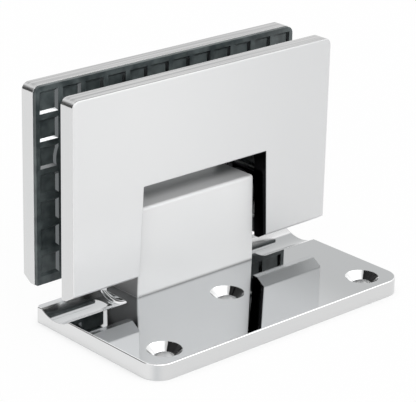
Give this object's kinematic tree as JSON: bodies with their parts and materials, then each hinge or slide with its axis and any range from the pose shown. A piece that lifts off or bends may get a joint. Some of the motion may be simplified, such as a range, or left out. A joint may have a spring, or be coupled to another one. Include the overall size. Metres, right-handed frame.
{
  "type": "glass door hinge",
  "caption": "Wall-to-glass door hinge: offset wall plate, pivot block and notched clamp plates that grip the glass and swing on a pin with a sprung detent.",
  "frame": {"origin": "on the wall face of the wall plate, under the pin axis, halfway along the hinge", "axes": "+X along the hinge and its pin; -Y towards the long side of the wall plate; +Z away from the wall, towards the glass"},
  "size_m": [0.09, 0.0527, 0.0647],
  "materials": {
    "chrome": "mirror polished chrome plate on brass",
    "satin_chrome": "satin chrome plate on brass",
    "steel": "fine turned stainless steel",
    "spring_steel": "drawn spring wire",
    "acetal": "black acetal, satin",
    "gasket_rubber": "moulded rubber, slight sheen"
  },
  "bodies": {
    "wall_side": {"wall_plate": "chrome", "pivot_block": "satin_chrome", "block_screws": "steel", "spring_plate": "steel", "left_bush": "acetal", "right_bush": "acetal", "left_detent_spring": "spring_steel", "right_detent_spring": "spring_steel"},
    "pad": {"pressure_pad": "acetal"},
    "door_side": {"front_clamp_plate": "satin_chrome", "rear_clamp_plate": "satin_chrome", "front_gasket": "gasket_rubber", "rear_gasket": "gasket_rubber", "clamp_screws": "steel", "pin_set_screws": "steel", "pivot_pin": "steel", "left_thrust_washer": "acetal", "right_thrust_washer": "acetal", "left_pillar_sleeve": "acetal", "right_pillar_sleeve": "acetal"}
  },
  "joints": [
    {"name": "door_swing", "type": "hinge", "parent": "wall_side", "child": "door_side", "pos_m": [0, 0, 0.0234], "axis": [1, 0, 0], "range_deg": [-90, 90]},
    {"name": "pad_lift", "type": "slide", "parent": "wall_side", "child": "pad", "axis": [0, 0, 1], "range_m": [0, 0.0008], "deforming": ["left_detent_spring", "right_detent_spring"]}
  ]
}
